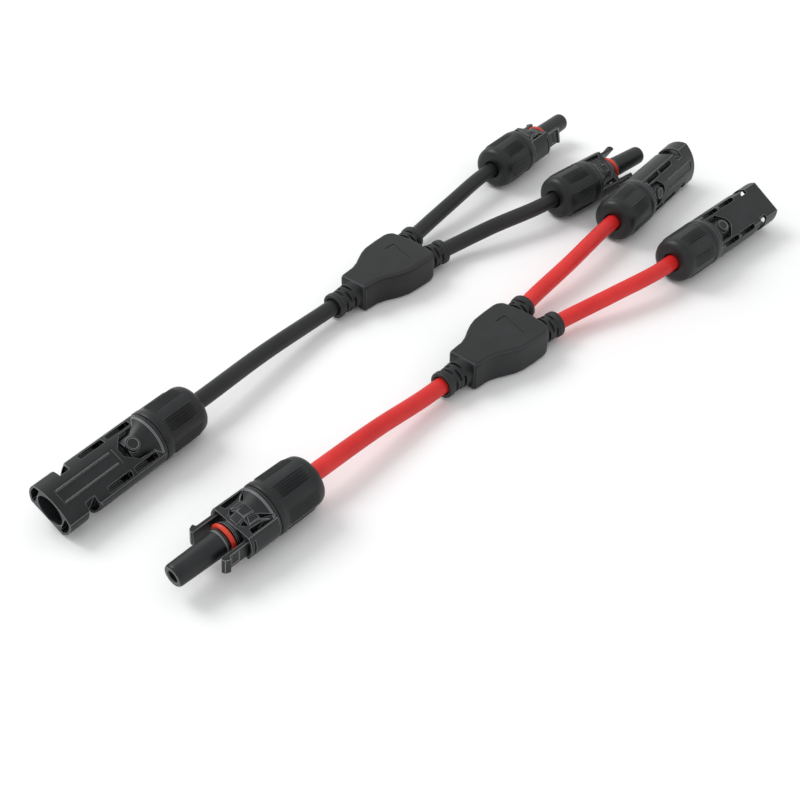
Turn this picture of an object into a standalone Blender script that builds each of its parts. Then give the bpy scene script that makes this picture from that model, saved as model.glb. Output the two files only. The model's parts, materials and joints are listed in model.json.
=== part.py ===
"""A matched pair of branch leads for solar panels.

The red lead ends in one plug at its trunk and two sockets at its branches. The black lead
is its opposite, one socket and two plugs. Both lie on the floor. Metres, +Z up, +X from
the trunk ends to the branch ends, origin at the bottom centre of the pair.

Every connector is made in its own frame: the origin on its axis where the cap nut meets
the housing, +X the way it mates, +Z through its top face. A junction's origin is on its
trunk axis at the end of the trunk boot, with +X towards the branches.
"""
from math import atan2, cos, pi, radians, sin, sqrt, tan

import bmesh
import bpy
from mathutils import Matrix, Vector

MM = 0.001

# Driving dimensions.
GAP = 0.3 * MM                   # clearance between pieces that touch
ROUND_SIDES = 18                 # facets round housings and nuts
FINE_SIDES = 12                  # facets round the small inner pieces

CABLE_RADIUS = 3.1 * MM
WIRE_RADIUS = 1.55 * MM          # the stranded conductor, taken as one bundle

NUT_RADIUS = 9.5 * MM
NUT_LENGTH = 20.5 * MM
NUT_TAPER = 0.4 * MM             # how much less its radius is near the cable end
NUT_WALL = 2.1 * MM              # between the thread and the outside
THREAD_LENGTH = 11.5 * MM
THREAD_PLAY = 1.5 * MM           # left between the tube's end and the nut's shoulder
NUT_CAP = 2.2 * MM               # length of the cable's hole through the nut's rear end
NUT_SLOPE = 1.1 * MM             # length of the cone that leads into that hole
COLLET_CHAMFER = 1.2 * MM        # at the collet's rear, where the nut's cone pushes it

TUBE_BORE = 5.4 * MM             # radius of the threaded tube's bore
JACKET_ROOM = 0.4 * MM           # round the jacket, in the collet and the crimp chamber
CRIMP_BORE = CABLE_RADIUS + JACKET_ROOM
CRIMP_DEPTH = 9.5 * MM           # how far forward that chamber reaches
JACKET_DEPTH = 0.9 * MM          # how far the cable jacket reaches past the seam

FLANGE_RADIUS = 9.2 * MM
FLANGE_LENGTH = 1.4 * MM
BARREL_RADIUS = 6.2 * MM         # the round core between the flange and the front
CONE_END = 9.5 * MM              # where the cone from flange to barrel ends

BARREL_WALL = 0.7 * MM           # metal wall of the crimp barrel
CONTACT_RADIUS = 2.45 * MM
PIN_RADIUS = 2.0 * MM
PIN_CLEARANCE = 0.1 * MM         # between a pin and the socket contact it enters
SHOULDER_RADIUS = 3.2 * MM
SHOULDER_LENGTH = 1.2 * MM

BODY_RADIUS = 9.4 * MM           # every housing section lies inside this circle

PLUG_FRONT = 12.4 * MM           # the shroud's mouth
PROBE_REACH = 22.8 * MM          # how far the probe stands out of the mouth
SHROUD_HALF_HEIGHT = 5.2 * MM
SHROUD_WALL = 1.1 * MM
MOUTH_DEPTH = 2.6 * MM
PROBE_ROOT_RADIUS = 4.25 * MM
PROBE_TIP_RADIUS = 3.9 * MM
RING_RADIUS = 0.85 * MM          # radius of the O-ring's section
RING_PLACE = PLUG_FRONT + 2.8 * MM
RING_PITCH_RADIUS = 4.7 * MM

LATCH_INNER = 6.3 * MM           # the arm's face towards the probe
LATCH_THICKNESS = 1.3 * MM
LATCH_HALF_HEIGHT = 3.25 * MM
LATCH_ROOT = 4.6 * MM            # where the arm's root bends
LATCH_REACH = 9.9 * MM           # how far the arm stands out of the mouth
LATCH_BARB = 1.1 * MM
BARB_LENGTH = 2.8 * MM
LATCH_PLAY = 0.6 * MM            # room on the side that the arm bends to

SOCKET_FRONT = 41.0 * MM
COLLAR_LENGTH = 8.0 * MM         # the full front block that the latch arms enter
NOTCH_LENGTH = 3.8 * MM          # the side opening where a latch barb springs out
NOTCH_DEPTH = 5.7 * MM           # half width that is left between the notches
SOCKET_TOP = 6.4 * MM
SOCKET_BOTTOM = 5.8 * MM
SHOULDER_DROP = 2.6 * MM         # how much the arched top falls towards its sides
ARCH_HALF_WIDTH = 8.6 * MM
MATING_BORE = 5.4 * MM
INNER_BORE = 4.7 * MM
INNER_BORE_END = 35.0 * MM
BULKHEAD_END = 15.0 * MM
PIN_RECESS = 8.0 * MM            # the pin's tip lies this far inside the mouth
WINDOW_WIDTH = 1.8 * MM
WINDOW_MIDDLE = 7.1 * MM
WINDOWS = ((3.5 * MM, 13.1 * MM), (14.5 * MM, 24.3 * MM))
WINDOW_FLOOR = 2.2 * MM
WINDOW_HOLE = 3.0 * MM           # length of the deep part at a window's rear end
WINDOW_HOLE_FLOOR = -1.0 * MM

BOSS_HALF_WIDTH = 2.6 * MM
BOSS_TOP = 7.0 * MM
BOSS_START = 6.2 * MM
BOSS_END = 11.4 * MM

JUNCTION_HEIGHT = 12.0 * MM
JUNCTION_BEVEL = 1.6 * MM
BOOT_RADIUS = 5.0 * MM
BOOT_LENGTH = 11.0 * MM
BRANCH_ANGLE = radians(9.0)
BRANCH_END = Vector((56.2 * MM, 7.7 * MM))
TRUNK_JACKET_END = 17.0 * MM     # jacket ends inside the overmould
BRANCH_JACKET_START = 40.0 * MM
SPLICE = (24.0 * MM, 33.0 * MM)  # the ferrule's two ends
SPLICE_WALL = 0.8 * MM
SPLICE_OFFSET = 1.6 * MM         # branch wires lie this far off the middle inside it

# Where each piece lies: its origin on the floor plan, its heading and its roll in degrees.
# Roll turns the right side down, seen along the heading.
LAYOUT = Vector((-37.04 * MM, -18.894 * MM, 0.0))
CONNECTORS = {
    "red_plug": ("plug", (-74.9, -11.5), 180.6, -8),
    "red_socket_a": ("socket", (152.6, 6.2), 5.9, 72),
    "red_socket_b": ("socket", (144.7, -30.6), -2.4, -149),
    "black_socket": ("socket", (-78.3, 40.3), 185.3, -29),
    "black_plug_a": ("plug", (151.2, 68.8), 4.3, -12),
    "black_plug_b": ("plug", (150.2, 30.8), -4.8, 32),
}
JUNCTIONS = {"red": ((10.2, -10.1), 0.0), "black": ((16.6, 50.3), 2.2)}

# A cable's middle points, in millimetres in the same plan. Its ends follow the pieces.
CABLES = {
    "red_trunk": ("red_plug", 0, [(-22.0, -10.4, 8.2)]),
    "red_branch_a": ("red_socket_a", 1, [(98.0, 0.4, 8.0)]),
    "red_branch_b": ("red_socket_b", -1, [(94.0, -24.4, 8.0)]),
    "black_trunk": ("black_socket", 0, [(-22.0, 46.8, 8.2)]),
    "black_branch_a": ("black_plug_a", 1, [(101.0, 64.0, 8.0)]),
    "black_branch_b": ("black_plug_b", -1, [(97.0, 39.6, 8.0)]),
}
CABLE_RUN = 6.0 * MM             # straight length just outside a boot or a nut
CABLE_STEP = 2.4                 # spacing of the tube's points, in cable diameters

COLOURS = {
    "black_plastic": ((0.018, 0.019, 0.020), 0.42, 0.0),
    "black_rubber": ((0.022, 0.022, 0.023), 0.62, 0.0),
    "red_sheath": ((0.72, 0.035, 0.030), 0.36, 0.0),
    "black_sheath": ((0.020, 0.021, 0.022), 0.45, 0.0),
    "orange_rubber": ((0.78, 0.075, 0.030), 0.40, 0.0),
    "grey_rubber": ((0.11, 0.11, 0.11), 0.60, 0.0),
    "nylon": ((0.05, 0.05, 0.055), 0.45, 0.0),
    "tinned_copper": ((0.78, 0.77, 0.74), 0.28, 1.0),
    "bare_copper": ((0.72, 0.33, 0.18), 0.35, 1.0),
}


# ---------------------------------------------------------------- making shapes

def clear_scene():
    """Start from an empty scene."""
    for thing in list(bpy.data.objects):
        bpy.data.objects.remove(thing, do_unlink=True)


def body(name, bm):
    """Turn a finished bmesh into an object, its faces pointing out."""
    bmesh.ops.remove_doubles(bm, verts=bm.verts, dist=1e-7)
    bmesh.ops.recalc_face_normals(bm, faces=bm.faces)
    mesh = bpy.data.meshes.new(name)
    bm.to_mesh(mesh)
    bm.free()
    thing = bpy.data.objects.new(name, mesh)
    bpy.context.scene.collection.objects.link(thing)
    return thing


def turned(name, profile, sides=ROUND_SIDES):
    """A solid turned about X. A profile of (x, radius) that starts and ends on the axis
    makes a full body, and any other one closes on itself and makes a ring."""
    bm = bmesh.new()
    points = [bm.verts.new((x, 0.0, radius)) for x, radius in profile]
    on_axis = profile[0][1] == 0.0 and profile[-1][1] == 0.0
    following = points[1:] if on_axis else points[1:] + points[:1]
    edges = [bm.edges.new(pair) for pair in zip(points, following)]
    bmesh.ops.spin(bm, geom=points + edges, cent=(0, 0, 0), axis=(1, 0, 0),
                   angle=2 * pi, steps=sides, use_merge=True)
    return body(name, bm)


def pushed(name, outline, direction):
    """A prism: a flat outline of 3-D points, extruded along a direction."""
    bm = bmesh.new()
    face = bm.faces.new([bm.verts.new(point) for point in outline])
    grown = bmesh.ops.extrude_face_region(bm, geom=[face])
    moved = [item for item in grown["geom"] if isinstance(item, bmesh.types.BMVert)]
    bmesh.ops.translate(bm, verts=moved, vec=direction)
    return body(name, bm)


def standing(name, outline, low, high):
    """A prism that stands on an (x, y) outline, from one height to another."""
    return pushed(name, [(x, y, low) for x, y in outline], (0, 0, high - low))


def section(name, outline, rear, front):
    """A prism along X with a (y, z) outline."""
    return pushed(name, [(rear, y, z) for y, z in outline], (front - rear, 0, 0))


def block(name, x, y, z):
    """A box between two values on each axis."""
    return standing(name, [(x[0], y[0]), (x[1], y[0]), (x[1], y[1]), (x[0], y[1])], *z)


def combine(base, operation, tools):
    """Join the tools to the base, or cut them out of it, and keep the result as a mesh."""
    for tool in tools:
        step = base.modifiers.new(tool.name, "BOOLEAN")
        step.operation = operation
        step.solver = "EXACT"
        step.object = tool
    bpy.context.view_layer.update()
    evaluated = base.evaluated_get(bpy.context.evaluated_depsgraph_get())
    result = bpy.data.meshes.new_from_object(evaluated)
    base.modifiers.clear()
    base.data = result
    for tool in tools:
        bpy.data.objects.remove(tool, do_unlink=True)
    return base


def joined(base, *tools):
    """The union of solids."""
    return combine(base, "UNION", tools)


def cut(base, *tools):
    """A solid less its cutters."""
    return combine(base, "DIFFERENCE", tools)


def mirrored_pair(make):
    """Two copies of a shape, made by a function that is told which side it is for."""
    return [make(side) for side in (1, -1)]


def clipped_circle(radius, bottom, top):
    """The outline of a circle between two heights, in (y, z), counter-clockwise."""
    low = atan2(-bottom, sqrt(radius ** 2 - bottom ** 2))
    high = atan2(top, sqrt(radius ** 2 - top ** 2))
    steps = 6
    right = [low + (high - low) * step / steps for step in range(steps + 1)]
    outline = [(radius * cos(angle), radius * sin(angle)) for angle in right]
    return outline + [(-y, z) for y, z in reversed(outline)]


# ---------------------------------------------------------------- pieces that all connectors have

def rear_profile():
    """The outer profile that both housings share, from the tube's end to the barrel."""
    return [
        (-THREAD_LENGTH, 0.0), (-THREAD_LENGTH, thread_radius() - 0.5 * MM),
        (-THREAD_LENGTH + 0.5 * MM, thread_radius()), (0.0, thread_radius()),
        (0.0, FLANGE_RADIUS), (FLANGE_LENGTH, FLANGE_RADIUS), (CONE_END, BARREL_RADIUS),
    ]


def thread_radius():
    """The crest of the thread, inside the nut."""
    return NUT_RADIUS - NUT_WALL - GAP


def rear_bore():
    """The profile of the hollow behind the contact's shoulder, up to its front wall."""
    return [
        (-THREAD_LENGTH - MM, 0.0), (-THREAD_LENGTH - MM, TUBE_BORE), (0.0, TUBE_BORE),
        (0.0, CRIMP_BORE), (CRIMP_DEPTH, CRIMP_BORE),
        (CRIMP_DEPTH, CONTACT_RADIUS + GAP),
    ]


def make_nut():
    """The cap nut, from the seam back to the hole that the cable leaves by."""
    hole = CABLE_RADIUS + 0.5 * MM
    shoulder = THREAD_LENGTH + THREAD_PLAY
    seat = TUBE_BORE + 0.2 * MM
    end = NUT_LENGTH
    rear = NUT_RADIUS - NUT_TAPER
    return turned("nut", [
        (-GAP, NUT_RADIUS - NUT_WALL), (-GAP, NUT_RADIUS - 0.4 * MM),
        (-GAP - 0.4 * MM, NUT_RADIUS), (-0.75 * end, rear + 0.1 * MM),
        (-end + 2.2 * MM, rear - 0.4 * MM), (-end + 0.7 * MM, rear - 1.4 * MM),
        (-end, rear - 3.0 * MM), (-end, hole), (-end + NUT_CAP, hole),
        (-end + NUT_CAP + NUT_SLOPE, seat), (-shoulder, seat), (-shoulder, NUT_RADIUS - NUT_WALL),
    ])


def make_collet():
    """The clamping cage: a ring inside the nut with six fingers that reach forward."""
    ring_front = THREAD_LENGTH + THREAD_PLAY + GAP
    outer = TUBE_BORE - 0.1 * MM
    inner = CABLE_RADIUS + JACKET_ROOM
    tip = 8.3 * MM
    ring_end = NUT_LENGTH - NUT_CAP - NUT_SLOPE + 0.2 * MM
    chamfer = min(COLLET_CHAMFER, 0.4 * (ring_end - ring_front))
    cage = turned("collet", [
        (-tip, inner), (-tip, TUBE_BORE - GAP), (-ring_front, TUBE_BORE - GAP),
        (-ring_front, outer), (-ring_end + chamfer, outer),
        (-ring_end, outer - chamfer + 0.1 * MM), (-ring_end, inner),
    ], FINE_SIDES)
    slots = []
    for step in range(3):
        slot = block("slot", (-ring_front + MM, -tip + MM), (-TUBE_BORE, TUBE_BORE),
                     (-0.45 * MM, 0.45 * MM))
        slot.rotation_euler.x = pi * (step + 0.25) / 3
        slots.append(slot)
    return cut(cage, *slots)


def make_seal():
    """The rubber gland that the collet squeezes onto the cable."""
    inner = CABLE_RADIUS + GAP
    outer = TUBE_BORE - GAP
    return turned("seal", [
        (-8.0 * MM, inner), (-8.0 * MM, outer - 0.5 * MM), (-7.2 * MM, outer),
        (-5.4 * MM, outer), (-4.8 * MM, outer - 0.5 * MM), (-4.2 * MM, outer),
        (-0.5 * MM, outer), (-0.5 * MM, inner),
    ], FINE_SIDES)


def crimp_profile():
    """The contact's rear half: the blind barrel round the wire, then the shoulder."""
    start = JACKET_DEPTH + GAP
    inner = WIRE_RADIUS + GAP
    outer = inner + BARREL_WALL
    shoulder = CRIMP_DEPTH - GAP - SHOULDER_LENGTH
    depth = shoulder - 0.6 * MM
    return [
        (depth, 0.0), (depth, inner), (start, inner), (start, outer),
        (shoulder, outer), (shoulder, SHOULDER_RADIUS),
        (shoulder + SHOULDER_LENGTH, SHOULDER_RADIUS),
        (shoulder + SHOULDER_LENGTH, CONTACT_RADIUS),
    ]


def make_wire_end():
    """The stripped end of the wire, inside the crimp barrel."""
    start = JACKET_DEPTH + GAP
    end = CRIMP_DEPTH - 2 * GAP - SHOULDER_LENGTH - 0.6 * MM
    return turned("wire_end", [(start, 0.0), (start, WIRE_RADIUS), (end, WIRE_RADIUS), (end, 0.0)],
                  FINE_SIDES)


def make_bosses():
    """The raised blocks on the top and bottom of a housing, over its cone."""
    def boss(side):
        rise = BOSS_TOP - SHROUD_HALF_HEIGHT
        outline = [
            (BOSS_START - rise, SHROUD_HALF_HEIGHT - MM), (BOSS_START, BOSS_TOP),
            (BOSS_END - 0.6 * rise, BOSS_TOP), (BOSS_END, SHROUD_HALF_HEIGHT - MM),
        ]
        return pushed("boss", [(x, -BOSS_HALF_WIDTH, side * z) for x, z in outline],
                      (0, 2 * BOSS_HALF_WIDTH, 0))
    return mirrored_pair(boss)


# ---------------------------------------------------------------- the plug

def make_plug_housing():
    """Threaded tube, cone, open shroud and probe, moulded in one piece."""
    tip = PLUG_FRONT + PROBE_REACH
    half = SHROUD_HALF_HEIGHT
    shroud = section("plug_housing", clipped_circle(BODY_RADIUS, half, half),
                     FLANGE_LENGTH / 2, PLUG_FRONT)
    floor = PLUG_FRONT - MOUTH_DEPTH
    inner = clipped_circle(BODY_RADIUS - SHROUD_WALL, half - SHROUD_WALL, half - SHROUD_WALL)
    mouth = section("mouth", inner, floor, PLUG_FRONT + MM)
    cut(shroud, mouth, *plug_pockets())

    ring_seat = RING_PITCH_RADIUS - RING_RADIUS - GAP
    seat_half = RING_RADIUS + 0.35 * MM
    spigot = BARREL_RADIUS - 1.3 * MM
    core = turned("core", rear_profile() + [
        (floor + MM, BARREL_RADIUS), (floor + MM, spigot), (RING_PLACE - seat_half, spigot),
        (RING_PLACE - seat_half, ring_seat), (RING_PLACE + seat_half, ring_seat),
        (RING_PLACE + seat_half, PROBE_ROOT_RADIUS + GAP),
        (RING_PLACE + seat_half + 0.8 * MM, PROBE_ROOT_RADIUS),
        (tip - 0.5 * MM, PROBE_TIP_RADIUS), (tip, PROBE_TIP_RADIUS - 0.4 * MM), (tip, 0.0),
    ])
    joined(shroud, core, *make_bosses())

    def slot(side):
        near = side * (LATCH_INNER - LATCH_PLAY)
        far = side * (LATCH_INNER + LATCH_THICKNESS + GAP)
        tall = LATCH_HALF_HEIGHT + GAP
        return block("slot", (LATCH_ROOT - 1.1 * MM, PLUG_FRONT + MM),
                     (min(near, far), max(near, far)), (-tall, tall))

    lip = tip - 2.5 * MM
    bore = turned("bore", rear_bore() + [
        (lip, CONTACT_RADIUS + GAP), (lip, PIN_RADIUS + 0.15 * MM),
        (tip + MM, PIN_RADIUS + 0.15 * MM), (tip + MM, 0.0),
    ], FINE_SIDES)
    return cut(shroud, bore, *mirrored_pair(slot))


def plug_pockets():
    """The four tapering pockets between the core and the shroud's side walls."""
    cutters = []
    near = 3.4 * MM
    far = sqrt(BODY_RADIUS ** 2 - SHROUD_HALF_HEIGHT ** 2) - SHROUD_WALL
    front = PLUG_FRONT - 1.4 * MM
    outline = [(front, near + 0.6 * MM), (front - 1.2 * MM, far), (3.0 * MM, far),
               (5.6 * MM, near)]
    for side in (1, -1):
        for low, high in ((LATCH_HALF_HEIGHT, BODY_RADIUS), (-BODY_RADIUS, -LATCH_HALF_HEIGHT)):
            cutters.append(standing("pocket", [(x, side * y) for x, y in outline], low, high))
    return cutters


def make_latch(side):
    """One latch arm about its bending root: a flat blade with a barb at its tip."""
    tip = PLUG_FRONT + LATCH_REACH - LATCH_ROOT
    near = LATCH_INNER - latch_axis()
    far = near + LATCH_THICKNESS
    heel = -0.7 * MM
    blade = [
        (heel, near), (tip - 0.3 * MM, near), (tip, near + 0.5 * MM),
        (tip - 0.6 * MM, far + LATCH_BARB - 0.5 * MM),
        (tip - BARB_LENGTH + 0.8 * MM, far + LATCH_BARB), (tip - BARB_LENGTH, far), (heel, far),
    ]
    return standing("latch", [(x, side * y) for x, y in blade],
                    -LATCH_HALF_HEIGHT, LATCH_HALF_HEIGHT)


def latch_axis():
    """How far the arms' bending axes lie from the middle: in the middle of the blade."""
    return LATCH_INNER + LATCH_THICKNESS / 2


def make_o_ring():
    """The sealing ring in its groove at the probe's root."""
    section_sides = 6
    turn = 2 * pi / section_sides
    return turned("o_ring", [
        (RING_PLACE + RING_RADIUS * cos(turn * step),
         RING_PITCH_RADIUS + RING_RADIUS * sin(turn * step)) for step in range(section_sides)
    ])


def make_socket_contact():
    """The tinned contact in the probe, which takes the other half's pin."""
    front = PLUG_FRONT + PROBE_REACH - 2.5 * MM - GAP
    bore = PIN_RADIUS + PIN_CLEARANCE
    depth = front - 13.0 * MM
    return turned("contact", crimp_profile() + [
        (front, CONTACT_RADIUS), (front, bore), (depth, bore), (depth, 0.0),
    ], FINE_SIDES)


# ---------------------------------------------------------------- the socket

def arched_section():
    """The socket housing's (y, z) outline: round sides, a flat bottom and an arched top."""
    side = clipped_circle(BODY_RADIUS, SOCKET_BOTTOM, SOCKET_TOP - SHOULDER_DROP)
    half = len(side) // 2
    arch_radius = (ARCH_HALF_WIDTH ** 2 + SHOULDER_DROP ** 2) / (2 * SHOULDER_DROP)
    reach = side[half - 1][0] * 0.86
    arch = []
    for step in range(7):
        y = reach * (1 - step / 3)
        arch.append((y, SOCKET_TOP - arch_radius + sqrt(arch_radius ** 2 - y ** 2)))
    return side[:half] + arch + side[half:]


def make_socket_housing():
    """Threaded tube, cone, windowed body and front block, moulded in one piece."""
    shell = section("socket_housing", arched_section(), FLANGE_LENGTH / 2, SOCKET_FRONT)
    cut(shell, *socket_pockets())
    core = turned("core", rear_profile() + [(CONE_END + MM, BARREL_RADIUS), (CONE_END + MM, 0.0)])
    joined(shell, core, *make_bosses())

    bore = turned("bore", rear_bore() + [
        (BULKHEAD_END, CONTACT_RADIUS + GAP), (BULKHEAD_END, INNER_BORE),
        (INNER_BORE_END, INNER_BORE), (INNER_BORE_END + MM, MATING_BORE),
        (SOCKET_FRONT + MM, MATING_BORE), (SOCKET_FRONT + MM, 0.0),
    ])
    return cut(shell, bore, *mirrored_pair(notch), *mirrored_pair(latch_way), *window_cutters())


def socket_pockets():
    """The recesses over and under the cone, each with a pointed front."""
    def pocket(side):
        wide = 5.2 * MM
        front = BOSS_END + 2.2 * MM
        outline = [(0.0, -wide), (BOSS_END - MM, -wide), (front, -wide / 2),
                   (front, wide / 2), (BOSS_END - MM, wide), (0.0, wide)]
        floor = SHROUD_HALF_HEIGHT - 0.8 * MM
        low, high = (floor, BODY_RADIUS) if side > 0 else (-BODY_RADIUS, -floor)
        return standing("pocket", outline, low, high)
    return mirrored_pair(pocket)


def notch(side):
    """The opening behind the front block where a barb springs out."""
    front = SOCKET_FRONT - COLLAR_LENGTH
    rear = front - NOTCH_LENGTH
    wide = NUT_RADIUS + MM
    rounding = 2.0 * MM
    outline = [
        (front, NOTCH_DEPTH), (front, NOTCH_DEPTH + 1.6 * MM), (front + 0.7 * MM, wide),
        (rear - rounding, wide), (rear - 0.6 * rounding, BODY_RADIUS - 0.2 * rounding),
        (rear, BODY_RADIUS - rounding), (rear, NOTCH_DEPTH),
    ]
    return standing("notch", [(x, side * y) for x, y in outline], -wide, wide)


def latch_way(side):
    """The slot through the front block that a latch arm enters."""
    near = side * (LATCH_INNER - GAP)
    far = side * (LATCH_INNER + LATCH_THICKNESS + 0.5 * MM)
    tall = LATCH_HALF_HEIGHT + GAP
    rear = SOCKET_FRONT - COLLAR_LENGTH - MM
    return block("latch_way", (rear, SOCKET_FRONT + MM), (min(near, far), max(near, far)),
                 (-tall, tall))


def window_cutters():
    """The rails' slots: shallow, with a deep rear end above, and plain below."""
    cutters = []
    for side in (1, -1):
        edges = (side * (WINDOW_MIDDLE - WINDOW_WIDTH / 2), side * (WINDOW_MIDDLE + WINDOW_WIDTH / 2))
        across = (min(edges), max(edges))
        for rear, front in WINDOWS:
            cutters.append(block("window", (rear, front), across, (WINDOW_FLOOR, BODY_RADIUS)))
            cutters.append(block("hole", (rear - 0.02 * MM, rear + WINDOW_HOLE), across,
                                 (WINDOW_HOLE_FLOOR, WINDOW_FLOOR + MM)))
            cutters.append(block("under", (rear, front), across, (-BODY_RADIUS, -WINDOW_FLOOR - MM)))
    return cutters


def make_pin():
    """The solid pin, with its crimp barrel and shoulder."""
    tip = SOCKET_FRONT - PIN_RECESS
    base = BULKHEAD_END + 1.5 * MM
    dome = [(tip - PIN_RADIUS * (1 - sin(angle)), PIN_RADIUS * cos(angle))
            for angle in (0.0, 0.5, 1.0)]
    return turned("pin", crimp_profile() + [(base, CONTACT_RADIUS), (base + 0.5 * MM, PIN_RADIUS)]
                  + dome + [(tip, 0.0)], FINE_SIDES)


# ---------------------------------------------------------------- the junction

def branch_point(side, x):
    """A point on a branch's axis, at a distance along the junction."""
    away = BRANCH_END.y - (BRANCH_END.x - x) * tan(BRANCH_ANGLE)
    return Vector((x, side * away, 0))


def rod(name, start, end, radius, sides=FINE_SIDES):
    """A plain round bar between two points."""
    along = end - start
    bar = turned(name, [(0.0, 0.0), (0.0, radius), (along.length, radius), (along.length, 0.0)],
                 sides)
    return laid(bar, start, along)


def laid(thing, start, along):
    """Move a shape made along X so that it starts at a point and runs in a direction."""
    turn = along.to_track_quat("X", "Z").to_matrix().to_4x4()
    thing.data.transform(Matrix.Translation(start) @ turn)
    return thing


def boot(name, start, end):
    """A strain-relief boot with a collar at its mouth, from its root to its end."""
    along = end - start
    long = along.length
    collar = 2.0 * MM
    waist = BOOT_RADIUS - 0.35 * MM
    sleeve = turned(name, [
        (0.0, 0.0), (0.0, BOOT_RADIUS + 0.3 * MM), (long - collar - 0.5 * MM, waist),
        (long - collar, BOOT_RADIUS), (long - 0.5 * MM, BOOT_RADIUS),
        (long, BOOT_RADIUS - 0.5 * MM), (long, 0.0),
    ])
    return laid(sleeve, start, along)


def shield_outline():
    """Half of the junction's plan, from its trunk side to its branch side."""
    return [(BOOT_LENGTH, 5.6 * MM), (BOOT_LENGTH + 0.9 * MM, 6.5 * MM), (18.0 * MM, 6.9 * MM),
            (21.5 * MM, 8.0 * MM), (28.0 * MM, 11.2 * MM), (31.5 * MM, 12.2 * MM),
            (37.5 * MM, 12.6 * MM), (43.0 * MM, 12.7 * MM), (45.6 * MM, 11.9 * MM),
            (47.2 * MM, 10.2 * MM), (48.3 * MM, 3.0 * MM)]


def make_overmould():
    """The moulded Y: a flat shield with three boots, hollowed round what it is moulded on."""
    half = shield_outline()
    outline = half + [(x, -y) for x, y in reversed(half)]
    bm = bmesh.new()
    face = bm.faces.new([bm.verts.new((x, y, -JUNCTION_HEIGHT / 2)) for x, y in outline])
    grown = bmesh.ops.extrude_face_region(bm, geom=[face])
    top = [item for item in grown["geom"] if isinstance(item, bmesh.types.BMVert)]
    bmesh.ops.translate(bm, verts=top, vec=(0, 0, JUNCTION_HEIGHT))
    rims = [edge for edge in bm.edges if abs(edge.verts[0].co.z - edge.verts[1].co.z) < GAP]
    bmesh.ops.bevel(bm, geom=rims, offset=JUNCTION_BEVEL, segments=1, profile=0.5,
                    affect="EDGES", material=-1)
    shield = body("overmould", bm)

    trunk_root = Vector((BOOT_LENGTH + 3.0 * MM, 0, 0))
    boots = [boot("boot", trunk_root, Vector((0, 0, 0)))]
    for side in (1, -1):
        boots.append(boot("boot", branch_point(side, BRANCH_END.x - BOOT_LENGTH - MM),
                          branch_point(side, BRANCH_END.x)))
    joined(shield, *boots)

    room = CABLE_RADIUS + GAP
    narrow = WIRE_RADIUS + GAP
    nest = splice_radius() + GAP
    ways = [turned("way", [
        (-MM, 0.0), (-MM, room), (TRUNK_JACKET_END + GAP, room), (TRUNK_JACKET_END + GAP, narrow),
        (SPLICE[0] - GAP, narrow), (SPLICE[0] - GAP, nest), (SPLICE[1] + GAP, nest),
        (SPLICE[1] + GAP, 0.0),
    ], FINE_SIDES)]
    for side in (1, -1):
        inner = branch_point(side, BRANCH_JACKET_START)
        ways.append(rod("way", inner - branch_direction(side) * GAP,
                        branch_point(side, BRANCH_END.x + MM), room))
        outlet, along = leg_line(side)
        ways.append(rod("way", outlet - along.normalized() * MM, outlet + along, narrow))
    return cut(shield, *ways)


def branch_direction(side):
    """The way that a branch leaves the junction."""
    return Vector((cos(BRANCH_ANGLE), side * sin(BRANCH_ANGLE), 0))


def leg_line(side):
    """A branch wire's way out of the ferrule: its start, and the run to its jacket."""
    outlet = Vector((SPLICE[1] + GAP, side * SPLICE_OFFSET, 0))
    return outlet, branch_point(side, BRANCH_JACKET_START) - outlet


def splice_radius():
    """The ferrule's outer radius, round two wires side by side."""
    return SPLICE_OFFSET + WIRE_RADIUS + GAP + SPLICE_WALL


def make_splice():
    """The crimped ferrule that holds the three wires together."""
    outer = splice_radius()
    inner = outer - SPLICE_WALL
    return turned("splice", [(SPLICE[0], inner), (SPLICE[0], outer), (SPLICE[1], outer),
                             (SPLICE[1], inner)])


def make_joined_wires():
    """The stripped ends of the trunk and both branches, pressed into one by the ferrule."""
    middle = (SPLICE[0] + SPLICE[1]) / 2
    trunk = rod("joined_wires", Vector((TRUNK_JACKET_END + GAP, 0, 0)),
                Vector((middle + 2 * MM, 0, 0)), WIRE_RADIUS)
    short = GAP + WIRE_RADIUS / 2    # a leg meets its jacket at an angle, so it stops short
    legs = []
    for side in (1, -1):
        outlet, along = leg_line(side)
        overlap = Vector((0.25 * MM, 0, 0))
        legs.append(rod("leg", Vector((middle - 2 * MM, side * SPLICE_OFFSET * 0.9, 0)),
                        outlet + overlap, WIRE_RADIUS * 0.98))
        legs.append(rod("leg", outlet - 2 * overlap, outlet + along * (1 - short / along.length),
                        WIRE_RADIUS))
    return joined(trunk, *legs)


# ---------------------------------------------------------------- placing

def floor_matrix(place, heading, roll, height):
    """The matrix of a piece that lies on the floor with its axis at a height."""
    spot = Vector((place[0] * MM, place[1] * MM, height)) + LAYOUT
    return (Matrix.Translation(spot) @ Matrix.Rotation(radians(heading), 4, "Z")
            @ Matrix.Rotation(radians(roll), 4, "X"))


def material(slot):
    """A Principled material from the colour table."""
    colour, roughness, metallic = COLOURS[slot]
    new = bpy.data.materials.new(slot)
    new.use_nodes = True
    shader = new.node_tree.nodes["Principled BSDF"]
    shader.inputs["Base Color"].default_value = (*colour, 1.0)
    shader.inputs["Roughness"].default_value = roughness
    shader.inputs["Metallic"].default_value = metallic
    return new


def place_copy(pattern, name, parent, slot, offset=(0, 0, 0)):
    """A named object that shares the pattern's mesh, parented at an offset."""
    thing = bpy.data.objects.new(name, pattern.data)
    bpy.context.scene.collection.objects.link(thing)
    thing.parent = parent
    thing.location = offset
    thing.material_slots[0].link = "OBJECT"
    thing.material_slots[0].material = material(slot)
    return thing


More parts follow.
